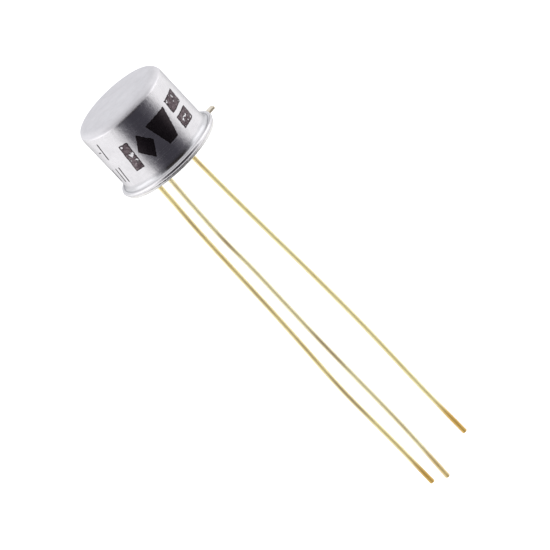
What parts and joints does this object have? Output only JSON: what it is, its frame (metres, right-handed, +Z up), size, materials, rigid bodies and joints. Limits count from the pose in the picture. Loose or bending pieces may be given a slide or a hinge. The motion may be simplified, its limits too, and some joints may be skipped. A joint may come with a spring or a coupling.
{
  "type": "triac",
  "caption": "Through-hole triac in a round welded metal can, with an index tab on the header and long stiff wire leads.",
  "frame": {"origin": "centre of the header's underside, the seating plane on a board", "axes": "+Z up through the can, with the leads running to -Z; MT1 lead at +Y, gate lead at -X, MT2 lead at -Y, index tab between +X and +Y, 50 degrees from +X"},
  "size_m": [0.0092, 0.0092, 0.042],
  "materials": {
    "nickel_cap": "satin nickel plate on drawn sheet",
    "gold_header": "thin gold plate on a steel pressing",
    "gold_lead": "thin gold plate on drawn wire, slightly darkened in patches",
    "seal_glass": "dark green-grey fused glass",
    "copper": "bare copper",
    "solder": "dull soft solder",
    "silicon": "polished silicon with a metallised face",
    "bond_wire": "bright drawn aluminium wire",
    "marking_ink": "thin black printing ink, a little worn"
  },
  "bodies": {
    "root": {"cap": "nickel_cap", "header": "gold_header", "mt1_glass_seal": "seal_glass", "gate_glass_seal": "seal_glass", "mt1_lead": "gold_lead", "gate_lead": "gold_lead", "mt2_lead": "gold_lead", "spreader_solder": "solder", "heat_spreader": "copper", "die_solder": "solder", "triac_die": "silicon", "mt1_bond_wire": "bond_wire", "gate_bond_wire": "bond_wire"}
  },
  "joints": []
}
